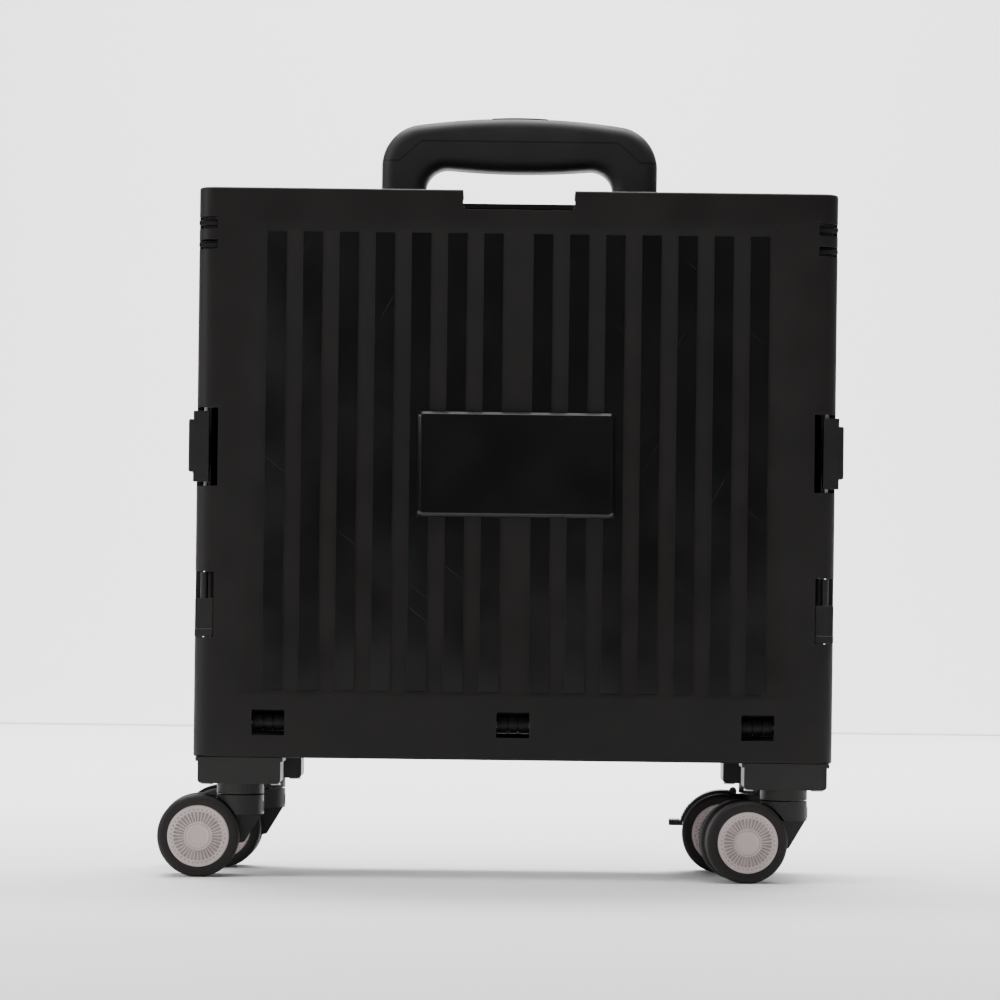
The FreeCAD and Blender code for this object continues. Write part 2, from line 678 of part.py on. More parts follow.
def fork(brake):
    """The swivelling arm: a round head over the wheels and a fin between them."""
    head = rod(14.4, 0, 0, 38, 49.8)
    head = head.cut(wheel_clearance(1.2))
    fin = outline_y([(14.4, 46), (14.4, 40), (3.0, 21.0), (-14, 17.5), ((-27, 16), (-33, 25)),
                     (-30, 38), (-14.2, 47.8), (0, 49)], -3.4, 3.4)
    body = fuse(head, fin)
    if brake:
        boss = bar_y(2.4, PEDAL_PIVOT[0], -3.4, 3.4, PEDAL_PIVOT[1])
        web = box(PEDAL_PIVOT[0] - 2.2, -12.0, -3.4, 3.4, 44, 49.8)
        post = box(PEDAL_PIVOT[0] - 2.0, PEDAL_PIVOT[0] + 2.0, -3.4, 3.4, 44, PEDAL_PIVOT[1])
        body = fuse(body, boss, web, post)
        body = body.cut(bar_y(1.25 + RUN, PEDAL_PIVOT[0], -5, 5, PEDAL_PIVOT[1]))
    body = body.cut(bar_y(2.5 + RUN, -TRAIL, -5, 5, WHEEL_R))
    return body.cut(rod(STEM_R, 0, 0, 41, 52))


def stem():
    """The steel swivel stem, pressed into the fork and turning in the block."""
    shaft = rod(STEM_R, 0, 0, 41, 70.4)
    groove = pipe((STEM_R + 1, STEM_R - 0.5), 0, 0, 67.5, 68.3)
    return shaft.cut(groove)


def axle():
    """The axle that joins the two wheels and turns in the fin."""
    return bar_y(2.5, -TRAIL, -13, 13, WHEEL_R)


def tyre(side):
    """One soft tyre with rounded shoulders."""
    y0 = side * WHEEL_INNER_Y
    y1 = side * WHEEL_OUTER_Y
    ring = bar_y(WHEEL_R, -TRAIL, min(y0, y1), max(y0, y1), WHEEL_R)
    rims = edges_where(ring, lambda m, a: a.Length < 0.5)
    ring = ring.makeFillet(2.6, rims)
    return ring.cut(bar_y(RIM_R, -TRAIL, -20, 20, WHEEL_R))


def hub(side):
    """One hub, hollow on its inner side, with a flat cap on its outer side."""
    y_in = side * (WHEEL_INNER_Y + 0.6)
    y_out = side * (WHEEL_OUTER_Y - 0.4)
    disc = bar_y(RIM_R, -TRAIL, min(y_in, y_out), max(y_in, y_out), WHEEL_R)
    hollow = bar_y(RIM_R - 2.4, -TRAIL, min(y_in - side, side * 12.4),
                   max(y_in - side, side * 12.4), WHEEL_R)
    hollow = hollow.cut(bar_y(6.0, -TRAIL, -20, 20, WHEEL_R))
    rim = edges_where(disc, lambda m, a: abs(m.y - y_out) < 0.1)
    disc = disc.makeFillet(0.8, rim)
    disc = disc.cut(hollow)
    return disc.cut(bar_y(2.5, -TRAIL, -13.1, 13.1, WHEEL_R))


def pedal():
    """The brake pedal, pressed: a thin fender over the wheels with a toothed tab to step on."""
    centre = Vector(-TRAIL, 0, WHEEL_R)
    x, z = PEDAL_PIVOT
    inner = WHEEL_R + 0.2
    outer = inner + 1.8
    ring = bar_y(outer, centre.x, -PEDAL_HALF, PEDAL_HALF, centre.z)
    ring = ring.cut(bar_y(inner, centre.x, -PEDAL_HALF - 1, PEDAL_HALF + 1, centre.z))
    sector = outline_y(sector_points(centre, 72, 165, 45), -PEDAL_HALF - 1, PEDAL_HALF + 1)
    fender = ring.common(sector)
    shoe = bar_y(inner + 0.4, centre.x, -3.0, 3.0, centre.z)
    shoe = shoe.cut(bar_y(SHOE_R, centre.x, -4.0, 4.0, centre.z)).common(sector)
    fender = fuse(fender, shoe).cut(box(x - 4.5, x + 6.0, -3.8, 3.8, z - 9, z + 6))
    tab = box(centre.x - TAB_REACH, centre.x - inner + 0.6, -PEDAL_HALF, PEDAL_HALF,
              TAB_LOW, TAB_LOW + 3.2)
    teeth = []
    for number in range(5):
        angle = math.radians(141 + number * 4.5)
        tooth_x = centre.x + outer * math.cos(angle)
        tooth_z = centre.z + outer * math.sin(angle)
        teeth.append(bar_y(0.55, tooth_x, -PEDAL_HALF, PEDAL_HALF, tooth_z))
    for number in range(4):
        tooth_x = centre.x - TAB_REACH + 0.9 + number * 1.6
        teeth.append(bar_y(0.6, tooth_x, -PEDAL_HALF, PEDAL_HALF, TAB_LOW + 3.1))
    ears = [bar_y(1.8, x, min(s * 3.8, s * 6.6), max(s * 3.8, s * 6.6), z) for s in SIDES]
    trunnion = bar_y(1.25, x, -4.5, 4.5, z)
    body = fuse(fender, tab, trunnion, *(teeth + ears))
    return body.cut(wheel_clearance(0.2))


def sector_points(centre, low, high, radius):
    """The outline of a pie slice between two angles in the XZ plane."""
    points = [(centre.x, centre.z)]
    steps = 4
    for number in range(steps + 1):
        angle = math.radians(low + (high - low) * number / steps)
        points.append((centre.x + radius * math.cos(angle), centre.z + radius * math.sin(angle)))
    return points


# ---- write every node ---------------------------------------------------------------
def write_panels():
    save("front_panel", front_panel())
    save("label_plate", label_plate())
    save("corner_hinge_clips", *corner_hinge_clips())
    save("front_corner_pins", *corner_pins())
    save("base_plate", base_plate())
    save("base_hinge_rod", bar_x(PIN_R, -168, 168, BASE_AXIS[0], BASE_AXIS[1]))
    save("rear_panel", rear_panel())
    save("rear_corner_pins", *[half_turn(pin) for pin in corner_pins()])
    save("tube_cover", tube_cover())
    save("cover_screws", *cover_screws())


def write_walls():
    for side, word in ((-1, "left"), (1, "right")):
        save(word + "_rear_wall", wall_half(side, True, False))
        save(word + "_front_wall", wall_half(side, False, side > 0))
        save(word + "_mid_pin", rod(PIN_R, side * (HINGE_X - WALL_SPAN), 0, WALL_LOW, WALL_HIGH))
        save(word + "_latch", latch(side))
    save("latch_pins", *latch_pins())


def write_handle():
    save("outer_tubes", *[pipe(OUTER_TUBE, s * HANDLE_X, HANDLE_Y, 78.5, 417.6) for s in SIDES])
    save("tube_bezels", *[tube_bezel(s * HANDLE_X) for s in SIDES])
    save("middle_tubes", *[middle_tube(s) for s in SIDES])
    save("middle_collars", *[middle_collar(s * HANDLE_X) for s in SIDES])
    save("inner_tubes", *[inner_tube(s) for s in SIDES])
    save("lock_housings", *[lock_housing(s) for s in SIDES])
    save("left_lock_pin", lock_pin(-1))
    save("right_lock_pin", lock_pin(1))
    upper, lower = handle_shells()
    save("handle_upper_shell", upper)
    save("handle_lower_shell", lower)
    save("handle_screws", *handle_screws())
    save("push_button", push_button())
    save("release_yoke", release_yoke())
    save("button_spring", button_spring())


def write_casters():
    for end, x, y in (("front", SWIVEL_FRONT_X, -SWIVEL_Y), ("rear", SWIVEL_REAR_X, SWIVEL_Y)):
        save(end + "_caster_blocks", caster_block(-x, y), caster_block(x, y))
        save(end + "_block_screws", *(block_screws(-x, y) + block_screws(x, y)))
    for name, (_, _, _, brake) in CASTERS.items():
        save(name + "_fork", place(fork(brake), name))
        save(name + "_stem", place(stem(), name))
        save(name + "_axle", place(axle(), name))
        save(name + "_tyres", *[place(tyre(s), name) for s in SIDES])
        save(name + "_hubs", *[place(hub(s), name) for s in SIDES])
        if brake:
            save(name + "_brake_pedal", place(pedal(), name))


write_panels()
write_walls()
write_handle()
write_casters()
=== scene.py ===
"""Looks for a folding crate trolley: moulded panels, telescopic handle and twin-wheel casters.

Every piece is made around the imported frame, in metres, in the frame's own axes: +Z up, front -Y.
"""
import json
import math

import bmesh
import bpy
import numpy as np
from bpy.props import FloatProperty, FloatVectorProperty, IntProperty, PointerProperty
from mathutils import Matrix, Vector


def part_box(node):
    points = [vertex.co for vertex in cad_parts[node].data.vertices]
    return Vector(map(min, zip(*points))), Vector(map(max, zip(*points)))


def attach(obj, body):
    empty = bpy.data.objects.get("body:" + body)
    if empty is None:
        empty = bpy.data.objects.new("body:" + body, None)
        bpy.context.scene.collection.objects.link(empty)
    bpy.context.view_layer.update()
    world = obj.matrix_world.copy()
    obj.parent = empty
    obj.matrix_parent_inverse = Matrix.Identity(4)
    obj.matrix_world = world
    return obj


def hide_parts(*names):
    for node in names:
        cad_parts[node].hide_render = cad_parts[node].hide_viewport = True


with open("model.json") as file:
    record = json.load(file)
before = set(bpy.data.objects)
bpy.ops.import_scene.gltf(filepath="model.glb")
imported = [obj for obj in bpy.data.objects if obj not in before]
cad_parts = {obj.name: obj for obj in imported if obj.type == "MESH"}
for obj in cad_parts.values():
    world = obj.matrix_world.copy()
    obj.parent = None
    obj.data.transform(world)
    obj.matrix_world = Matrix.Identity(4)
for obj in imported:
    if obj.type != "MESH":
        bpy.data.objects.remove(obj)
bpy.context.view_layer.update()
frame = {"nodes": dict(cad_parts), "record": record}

bl_info = {
    "name": "Crate trolley",
    "version": (1, 0, 0),
    "blender": (4, 5, 0),
    "location": "3D View > Sidebar > Trolley",
    "description": "Finishes and fine pieces of a folding crate trolley",
    "category": "Object",
}

MM = 0.001
CASTERS = ("front_left", "front_right", "rear_left", "rear_right")

WHEEL_R = 25.0 * MM
RIM_R = 18.8 * MM             # where a tyre ends and its hub cap begins
WHEEL_INNER = 4.2 * MM        # a wheel's two sides, from the middle of the axle
WHEEL_OUTER = 15.5 * MM

PETAL_IN = 0.458              # the cap's relief, in shares of the rim's radius
PETAL_OUT = 0.797
DOT_RING = 0.860
GROOVE_RING = 0.40
DISH_EDGE = 0.31

SEAM_TURN = 62.0 * MM         # the handle's parting line is level out to here from the middle
SEAM_END = 76.0 * MM          # and level again from here outwards
SEAM_HIGH = 459.5 * MM
SEAM_LOW = 447.0 * MM

CAMERA_DISTANCE = 2.10        # from the front panel's face
CAMERA_HEIGHT = 0.170
CAMERA_ROLL = -0.7            # degrees
CAMERA_SHIFT = (-0.0143, 0.1012)
FRAME_WIDTH = 0.6081          # what the view spans at the front panel's face

BODY_OF = {node: body for body, nodes in frame["record"]["behaviour"]["bodies"].items()
           for node in nodes}
SLOT_OF = {part["node"]: part["material_slot"] for part in frame["record"]["subparts"]}
JOINTS = {joint["name"]: joint for joint in frame["record"]["behaviour"]["joints"]}


def linear(code):
    """An sRGB hex colour as linear red, green and blue."""
    values = [int(code[i:i + 2], 16) / 255 for i in (0, 2, 4)]
    return tuple(v / 12.92 if v <= 0.04045 else ((v + 0.055) / 1.055) ** 2.4 for v in values)


# ---- settings -----------------------------------------------------------------------
class TrolleySizes(bpy.types.PropertyGroup):
    """Sizes of the details that the frame leaves to the finish."""
    edge_break: FloatProperty(
        name="Edge break", description="Rounding of the mouldings' sharp edges",
        default=0.45 * MM, unit="LENGTH", precision=5)
    stripe_sink: FloatProperty(
        name="Stripe sink", description="From a panel's rim in to its polished stripes",
        default=1.5 * MM, unit="LENGTH", precision=5)
    petals: IntProperty(
        name="Petals", description="Sunk petals round a hub cap", default=38, min=12)
    petal_depth: FloatProperty(
        name="Petal depth", description="Depth of the hub cap's relief",
        default=0.6 * MM, unit="LENGTH", precision=5)
    grain: FloatProperty(
        name="Grain", description="Size of the moulded texture's cells",
        default=0.7 * MM, unit="LENGTH", precision=5)


class TrolleyColours(bpy.types.PropertyGroup):
    """Base colours of the finishes."""
    panel: FloatVectorProperty(
        name="Panel", description="Grained black ABS", subtype="COLOR", default=linear("1a1817"))
    polished: FloatVectorProperty(
        name="Polished", description="Polished black ABS", subtype="COLOR",
        default=linear("0b0b0b"))
    clip: FloatVectorProperty(
        name="Clip", description="Hinge clips and latches", subtype="COLOR",
        default=linear("131312"))
    handle: FloatVectorProperty(
        name="Handle", description="Handle shells", subtype="COLOR", default=linear("282828"))
    caster: FloatVectorProperty(
        name="Caster", description="Glass-filled nylon", subtype="COLOR",
        default=linear("201f1e"))
    tyre: FloatVectorProperty(
        name="Tyre", description="Thermoplastic rubber", subtype="COLOR",
        default=linear("1b1817"))
    hub: FloatVectorProperty(
        name="Hub cap", description="Mauve-grey moulded cap", subtype="COLOR",
        default=linear("c0b0af"))
    floor: FloatVectorProperty(
        name="Floor", description="Pale studio floor", subtype="COLOR",
        default=linear("f2f2f2"))


# ---- shader helpers -----------------------------------------------------------------
def add(tree, kind, settings=None, inputs=None, links=None):
    """Add one node: settings are its attributes, inputs its values, links its sources."""
    made = tree.nodes.new(kind)
    for name, value in (settings or {}).items():
        setattr(made, name, value)
    for name, value in (inputs or {}).items():
        made.inputs[name].default_value = value
    for name, source in (links or {}).items():
        tree.links.new(source, made.inputs[name])
    return made


def new_material(name):
    """A material with an empty tree but for its shader and output."""
    material = bpy.data.materials.new(name)
    material.use_nodes = True
    tree = material.node_tree
    shader = next(n for n in tree.nodes if n.type == "BSDF_PRINCIPLED")
    place = add(tree, "ShaderNodeTexCoord").outputs["Object"]
    return material, tree, shader, place


def math_node(tree, operation, first, second=None):
    """The output of one sum; first and second are sockets or numbers."""
    made = tree.nodes.new("ShaderNodeMath")
    made.operation = operation
    for socket, value in zip(made.inputs, (first, second)):
        if isinstance(value, (int, float)):
            socket.default_value = value
        elif value is not None:
            tree.links.new(value, socket)
    return made.outputs[0]


def blend_colours(tree, factor, first, second):
    """Mix two colours; each is a tuple or a socket."""
    mix = add(tree, "ShaderNodeMix", {"data_type": "RGBA"}, links={"Factor": factor})
    sockets = [s for s in mix.inputs if s.type == "RGBA"]
    for socket, value in zip(sockets, (first, second)):
        if isinstance(value, tuple):
            socket.default_value = (*value[:3], 1)
        else:
            tree.links.new(value, socket)
    return next(s for s in mix.outputs if s.type == "RGBA")


def spread(tree, value, low, high, to_low, to_high):
    """Map a value from one range to another, clamped."""
    return add(tree, "ShaderNodeMapRange",
               inputs={"From Min": low, "From Max": high, "To Min": to_low, "To Max": to_high},
               links={"Value": value}).outputs["Result"]


def noise(tree, place, cell, detail):
    """Soft noise with cells of a given size, in the units of place."""
    return add(tree, "ShaderNodeTexNoise", inputs={"Scale": 1 / cell, "Detail": detail},
               links={"Vector": place}).outputs["Fac"]


def vary(tree, fleck, low, high):
    """Spread the middle of a noise, where nearly all of its values lie, over low to high."""
    return spread(tree, fleck, 0.3, 0.7, low, high)


def shade(colour, factor):
    """A colour made lighter or darker."""
    return tuple(min(1.0, c * factor) for c in colour)


def grain_bump(tree, shader, place, cell, strength, depth):
    """Moulded grain: fine rounded cells, sized in metres, over a slower unevenness."""
    fine = noise(tree, place, cell, 2.0)
    slow = noise(tree, place, 40 * cell, 1.0)
    height = math_node(tree, "ADD", fine, math_node(tree, "MULTIPLY", slow, 0.6))
    bump = add(tree, "ShaderNodeBump", inputs={"Strength": strength, "Distance": depth},
               links={"Height": height})
    tree.links.new(bump.outputs["Normal"], shader.inputs["Normal"])
    return fine, slow


def scratches(tree, place, turn, amount):
    """Hairline marks: noise drawn out a hundredfold along a turned axis, cut to its crests."""
    turned = add(tree, "ShaderNodeMapping", {"vector_type": "TEXTURE"},
                 inputs={"Rotation": (0, turn, 0), "Scale": (0.6 * MM, 0.6 * MM, 60 * MM)},
                 links={"Vector": place}).outputs["Vector"]
    lines = noise(tree, turned, 1.0, 0.0)
    return math_node(tree, "MULTIPLY", spread(tree, lines, 0.79, 0.86, 0, 1), amount)


def specks(tree, place, spacing, size):
    """Sparse dust: the very middle of a few cells, spacing and size in metres."""
    cells = add(tree, "ShaderNodeTexVoronoi", inputs={"Scale": 1 / spacing},
                links={"Vector": place})
    near = spread(tree, cells.outputs["Distance"], size / spacing * 0.5, size / spacing, 1, 0)
    chosen = add(tree, "ShaderNodeSeparateColor", links={"Color": cells.outputs["Color"]})
    rare = math_node(tree, "GREATER_THAN", chosen.outputs["Red"], 0.72)
    return math_node(tree, "MULTIPLY", near, rare)


# ---- finishes -----------------------------------------------------------------------
def parting_line(tree, place):
    """A dark hairline where the handle's shells meet: high over the grip, lower at both ends."""
    split = add(tree, "ShaderNodeSeparateXYZ", links={"Vector": place})
    outwards = math_node(tree, "ABSOLUTE", split.outputs["X"])
    height = spread(tree, outwards, SEAM_TURN, SEAM_END, SEAM_HIGH, SEAM_LOW)
    away = math_node(tree, "ABSOLUTE", math_node(tree, "SUBTRACT", split.outputs["Z"], height))
    return spread(tree, away, 0.3 * MM, 0.7 * MM, 1, 0)


def grained_plastic(name, colour, roughness, grain, gloss=0.5, line=None):
    """Injection-moulded plastic: a fine spark-eroded grain, patchy sheen and a little dust.

    The pits of the grain swallow part of what a smooth skin would reflect, which gloss sets.
    line is a function that draws a dark line, such as where two mouldings meet.
    """
    material, tree, shader, place = new_material(name)
    fine, slow = grain_bump(tree, shader, place, grain, 0.35, 0.05 * MM)
    dust = specks(tree, place, 16 * MM, 0.35 * MM)
    patchy = vary(tree, slow, 0, 1)
    base = blend_colours(tree, patchy, shade(colour, 0.88), shade(colour, 1.12))
    tint = blend_colours(tree, dust, base, linear("4a4846"))
    if line:
        tint = blend_colours(tree, line(tree, place), tint, shade(colour, 0.15))
    tree.links.new(tint, shader.inputs["Base Color"])
    rough = math_node(tree, "ADD", vary(tree, slow, roughness - 0.05, roughness + 0.05),
                      vary(tree, fine, -0.04, 0.04))
    tree.links.new(rough, shader.inputs["Roughness"])
    shader.inputs["Specular IOR Level"].default_value = gloss
    return material


def rubbed_plastic(name, colour, roughness, gloss):
    """The same plastic where an edge has been handled: smoother and a shade lighter."""
    material, tree, shader, place = new_material(name)
    wear = noise(tree, place, 6 * MM, 3.0)
    patch = spread(tree, wear, 0.4, 0.65, 0, 1)
    tree.links.new(blend_colours(tree, patch, shade(colour, 1.1), shade(colour, 1.7)),
                   shader.inputs["Base Color"])
    tree.links.new(vary(tree, wear, roughness, roughness - 0.12), shader.inputs["Roughness"])
    shader.inputs["Specular IOR Level"].default_value = gloss
    return material


def polished_plastic(name, colour):
    """Polished black ABS: near-mirror tool finish with hairline marks and dust."""
    material, tree, shader, place = new_material(name)
    marks = math_node(tree, "ADD", scratches(tree, place, 0.5, 0.4),
                      scratches(tree, place, -0.9, 0.4))
    dust = specks(tree, place, 9 * MM, 0.3 * MM)
    soil = math_node(tree, "MAXIMUM", marks, dust)
    tree.links.new(blend_colours(tree, soil, colour, linear("2e2c2b")), shader.inputs["Base Color"])
    haze = noise(tree, place, 50 * MM, 2.0)
    smooth = spread(tree, haze, 0.35, 0.65, 0.12, 0.2)
    tree.links.new(math_node(tree, "ADD", smooth, math_node(tree, "MULTIPLY", soil, 0.3)),
                   shader.inputs["Roughness"])
    return material


def tyre_rubber(colour):
    """Thermoplastic rubber: dull, faintly mottled, with grey floor dust in its pores."""
    material, tree, shader, place = new_material("tpr_tyre")
    fine, slow = grain_bump(tree, shader, place, 0.6 * MM, 0.5, 0.06 * MM)
    dusty = spread(tree, math_node(tree, "MULTIPLY", fine, slow), 0.26, 0.42, 0, 0.5)
    tree.links.new(blend_colours(tree, dusty, colour, linear("312d2b")),
                   shader.inputs["Base Color"])
    tree.links.new(vary(tree, slow, 0.55, 0.7), shader.inputs["Roughness"])
    shader.inputs["Specular IOR Level"].default_value = 0.3
    return material


def hub_plastic(colour):
    """Mauve-grey moulded cap: satin, with painted shade in the sunk petals."""
    material, tree, shader, place = new_material("abs_hub_cap")
    relief = add(tree, "ShaderNodeAttribute", {"attribute_name": "relief"}).outputs["Fac"]
    slow = noise(tree, place, 5 * MM, 3.0)
    painted_recess_shade = math_node(tree, "MULTIPLY", relief, vary(tree, slow, 0.55, 1.0))
    # Painted shade: the sunk petals, dots and groove are darkened towards half the cap's colour.
    tree.links.new(blend_colours(tree, painted_recess_shade, colour, shade(colour, 0.5)),
                   shader.inputs["Base Color"])
    tree.links.new(vary(tree, slow, 0.34, 0.5), shader.inputs["Roughness"])
    return material


def bright_metal(name, colour, roughness):
    """Bare or plated metal, with fine marks drawn out along Z."""
    material, tree, shader, place = new_material(name)
    marks_per_metre = (2500, 2500, 60)
    drawn = add(tree, "ShaderNodeMapping", inputs={"Scale": marks_per_metre},
                links={"Vector": place}).outputs["Vector"]
    lines = noise(tree, drawn, 1.0, 2.0)
    tree.links.new(blend_colours(tree, lines, shade(colour, 0.85), shade(colour, 1.1)),
                   shader.inputs["Base Color"])
    tree.links.new(vary(tree, lines, roughness - 0.06, roughness + 0.08),
                   shader.inputs["Roughness"])
    shader.inputs["Metallic"].default_value = 1.0
    return material


FINISHES = {}                 # for each of the record's slots: its skin, its worn edges, its stripes


def make_finishes(scene):
    """Build every finish once, keyed by the record's material slots."""
    sizes = scene.trolley_sizes
    colours = scene.trolley_colours
    clip = tuple(colours.clip)
    handle = tuple(colours.handle)
    caster = tuple(colours.caster)
    panel = tuple(colours.panel)
    polished = polished_plastic("abs_polished", tuple(colours.polished))
    FINISHES["abs_panel"] = (grained_plastic("abs_grained", panel, 0.52, sizes.grain, 0.2),
                             rubbed_plastic("abs_grained_rubbed", panel, 0.42, 0.34), polished)
    FINISHES["abs_gloss"] = (polished,
                             polished_plastic("abs_polished_edge", shade(colours.polished, 1.3)))
    FINISHES["abs_hinge"] = (grained_plastic("abs_clip", clip, 0.42, sizes.grain, 0.34),
                             rubbed_plastic("abs_clip_rubbed", clip, 0.36, 0.45))
    FINISHES["abs_button"] = (grained_plastic("abs_button", clip, 0.45, sizes.grain, 0.3),
                              rubbed_plastic("abs_button_rubbed", clip, 0.4, 0.3))
    FINISHES["pp_handle"] = (grained_plastic("pp_handle", handle, 0.54, sizes.grain, 0.3,
                                             line=parting_line),
                             rubbed_plastic("pp_handle_rubbed", handle, 0.48, 0.3))
    FINISHES["nylon_caster"] = (grained_plastic("nylon_caster", caster, 0.46, sizes.grain, 0.28),
                                rubbed_plastic("nylon_caster_rubbed", caster, 0.4, 0.34))
    rubber = tyre_rubber(tuple(colours.tyre))
    FINISHES["tpr_tyre"] = (rubber, rubber)
    hub = hub_plastic(tuple(colours.hub))
    FINISHES["hubcap"] = (hub, hub)
    for slot, name, code, rough in (
            ("steel_pin", "bright_steel", "9c9c9a", 0.32),
            ("zinc_screw", "zinc_plated_steel", "b9bab6", 0.3),
            ("aluminium_tube", "drawn_aluminium", "c4c5c8", 0.3),
            ("spring_steel", "spring_wire", "85868a", 0.34)):
        metal = bright_metal(name, linear(code), rough)
        FINISHES[slot] = (metal, metal)
    coat = grained_plastic("powder_coat", linear("161616"), 0.45, 0.9 * MM)
    FINISHES["steel_tube"] = (coat, coat)


# ---- mesh helpers -------------------------------------------------------------------
def finish_piece(piece, node):
    """Let a piece stand for a CAD node and ride on its body."""
    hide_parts(node)
    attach(piece, BODY_OF[node])


def link_piece(name, mesh, materials):
    """Put a finished mesh in the scene with its materials."""
    piece = bpy.data.objects.new(name, mesh)
    bpy.context.scene.collection.objects.link(piece)
    for material in materials:
        mesh.materials.append(material)
    return piece


def softened(node, width, stripe_y=None):
    """A merged copy of a CAD node whose sharp edges are broken and slightly worn.

    Flat faces at the distance stripe_y from the middle plane take the slot's third finish.
    """
    mesh = frame["nodes"][node].data.copy()
    work = bmesh.new()
    work.from_mesh(mesh)
    bmesh.ops.remove_doubles(work, verts=work.verts, dist=0.002 * MM)
    bmesh.ops.dissolve_limit(work, angle_limit=math.radians(0.6), verts=work.verts,
                             edges=work.edges)
    for face in work.faces:
        face.smooth = True
        depth = abs(face.calc_center_median().y)
        is_stripe = stripe_y and abs(face.normal.y) > 0.99 and abs(depth - stripe_y) < 0.1 * MM
        face.material_index = 2 if is_stripe else 0
    mesh.materials.clear()
    work.to_mesh(mesh)
    work.free()
    if "custom_normal" in mesh.attributes:
        mesh.attributes.remove(mesh.attributes["custom_normal"])
    piece = link_piece(node + "_finished", mesh, FINISHES[SLOT_OF[node]])
    if width > 0:
        bevel = piece.modifiers.new("edge_break", "BEVEL")
        bevel.width = width
        bevel.segments = 2
        bevel.limit_method = "ANGLE"
        bevel.angle_limit = math.radians(35)
        bevel.harden_normals = True
        bevel.material = 1
    finish_piece(piece, node)


def grid_mesh(name, points, closed_u, closed_v):
    """A mesh from a grid of points [u, v, 3], joined round in u or v where it is closed."""
    count_u, count_v = points.shape[:2]
    index = np.arange(count_u * count_v).reshape(count_u, count_v)
    u = np.arange(count_u if closed_u else count_u - 1)
    v = np.arange(count_v if closed_v else count_v - 1)
    a = index[u][:, v]
    b = index[(u + 1) % count_u][:, v]
    c = index[(u + 1) % count_u][:, (v + 1) % count_v]
    d = index[u][:, (v + 1) % count_v]
    faces = np.stack([a, b, c, d], -1).reshape(-1, 4)
    mesh = bpy.data.meshes.new(name)
    mesh.from_pydata(points.reshape(-1, 3), [], faces)
    mesh.polygons.foreach_set("use_smooth", np.ones(len(faces), bool))
    return mesh


def turned_about(caster, radii, offsets, steps):
    """A profile (radius, offset along the axle) carried round a caster's axle.

    The point at angle a is centre + offset * axis + radius * (cos a * level + sin a * up), where
    level is square to both the axle and up.
    """
    joint = JOINTS[caster + "_spin"]
    centre = np.array(joint["pos_m"])
    axis = np.array(joint["axis"], float)
    axis /= np.linalg.norm(axis)
    up = np.array([0.0, 0.0, 1.0])
    angle = np.linspace(0, 2 * np.pi, steps, endpoint=False)
    around = np.cos(angle)[:, None] * np.cross(axis, up) + np.sin(angle)[:, None] * up
    radii = np.broadcast_to(radii, (steps, np.shape(radii)[-1]))
    offsets = np.broadcast_to(offsets, radii.shape)
    return centre + offsets[..., None] * axis + radii[..., None] * around[:, None, :]


# ---- operators ----------------------------------------------------------------------
class TROLLEY_OT_panels(bpy.types.Operator):
    """Front and rear mouldings, the floor plate, the inner cover and the side walls"""
    bl_idname = "trolley.panels"
    bl_label = "Panels and walls"

    def execute(self, context):
        sizes = context.scene.trolley_sizes
        for node in ("front_panel", "rear_panel"):
            softened(node, sizes.edge_break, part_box("rear_panel")[1][1] - sizes.stripe_sink)
        for node in ("base_plate", "tube_cover", "left_front_wall", "right_front_wall",
                     "left_rear_wall", "right_rear_wall"):
            softened(node, sizes.edge_break)
        return {"FINISHED"}


class TROLLEY_OT_label(bpy.types.Operator):
    """The blank polished plate in the middle of the front panel"""
    bl_idname = "trolley.label"
    bl_label = "Label plate"

    def execute(self, context):
        softened("label_plate", context.scene.trolley_sizes.edge_break)
        return {"FINISHED"}


class TROLLEY_OT_clips(bpy.types.Operator):
    """Corner hinge clips, side latches, tube bezels, collars and lock housings"""
    bl_idname = "trolley.clips"
    bl_label = "Clips and latches"

    def execute(self, context):
        width = context.scene.trolley_sizes.edge_break
        for node in ("corner_hinge_clips", "left_latch", "right_latch", "tube_bezels",
                     "middle_collars", "lock_housings"):
            softened(node, width * 0.8)
        return {"FINISHED"}


class TROLLEY_OT_handle(bpy.types.Operator):
    """The handle's two shells and the push button"""
    bl_idname = "trolley.handle"
    bl_label = "Handle"

    def execute(self, context):
        width = context.scene.trolley_sizes.edge_break
        for node in ("handle_upper_shell", "handle_lower_shell", "push_button"):
            softened(node, width)
        return {"FINISHED"}


class TROLLEY_OT_metalwork(bpy.types.Operator):
    """Tubes, pins, stems, axles, screws, the release bar and the spring"""
    bl_idname = "trolley.metalwork"
    bl_label = "Metalwork"

    def execute(self, context):
        nodes = ["outer_tubes", "middle_tubes", "inner_tubes", "front_corner_pins",
                 "rear_corner_pins", "left_mid_pin", "right_mid_pin", "base_hinge_rod",
                 "latch_pins", "cover_screws", "front_block_screws", "rear_block_screws",
                 "handle_screws", "left_lock_pin", "right_lock_pin", "release_yoke",
                 "button_spring"]
        for caster in CASTERS:
            nodes += [caster + "_stem", caster + "_axle"]
        for node in nodes:
            for slot in frame["nodes"][node].material_slots:
                slot.material = FINISHES[SLOT_OF[node]][0]
        return {"FINISHED"}


class TROLLEY_OT_forks(bpy.types.Operator):
    """Caster blocks, forks and brake pedals"""
    bl_idname = "trolley.forks"
    bl_label = "Caster forks"

    def execute(self, context):
        width = context.scene.trolley_sizes.edge_break
        nodes = ["front_caster_blocks", "rear_caster_blocks", "rear_left_brake_pedal",
                 "rear_right_brake_pedal"]
        nodes += [caster + "_fork" for caster in CASTERS]
        for node in nodes:
            softened(node, width)
        return {"FINISHED"}


class TROLLEY_OT_wheels(bpy.types.Operator):
    """Tyres with a moulded tread and hub caps with a ring of sunk petals"""
    bl_idname = "trolley.wheels"
    bl_label = "Wheels"

    def execute(self, context):
        sizes = context.scene.trolley_sizes
        for caster in CASTERS:
            make_tyres(caster)
            make_hubs(caster, sizes.petals, sizes.petal_depth)
        return {"FINISHED"}


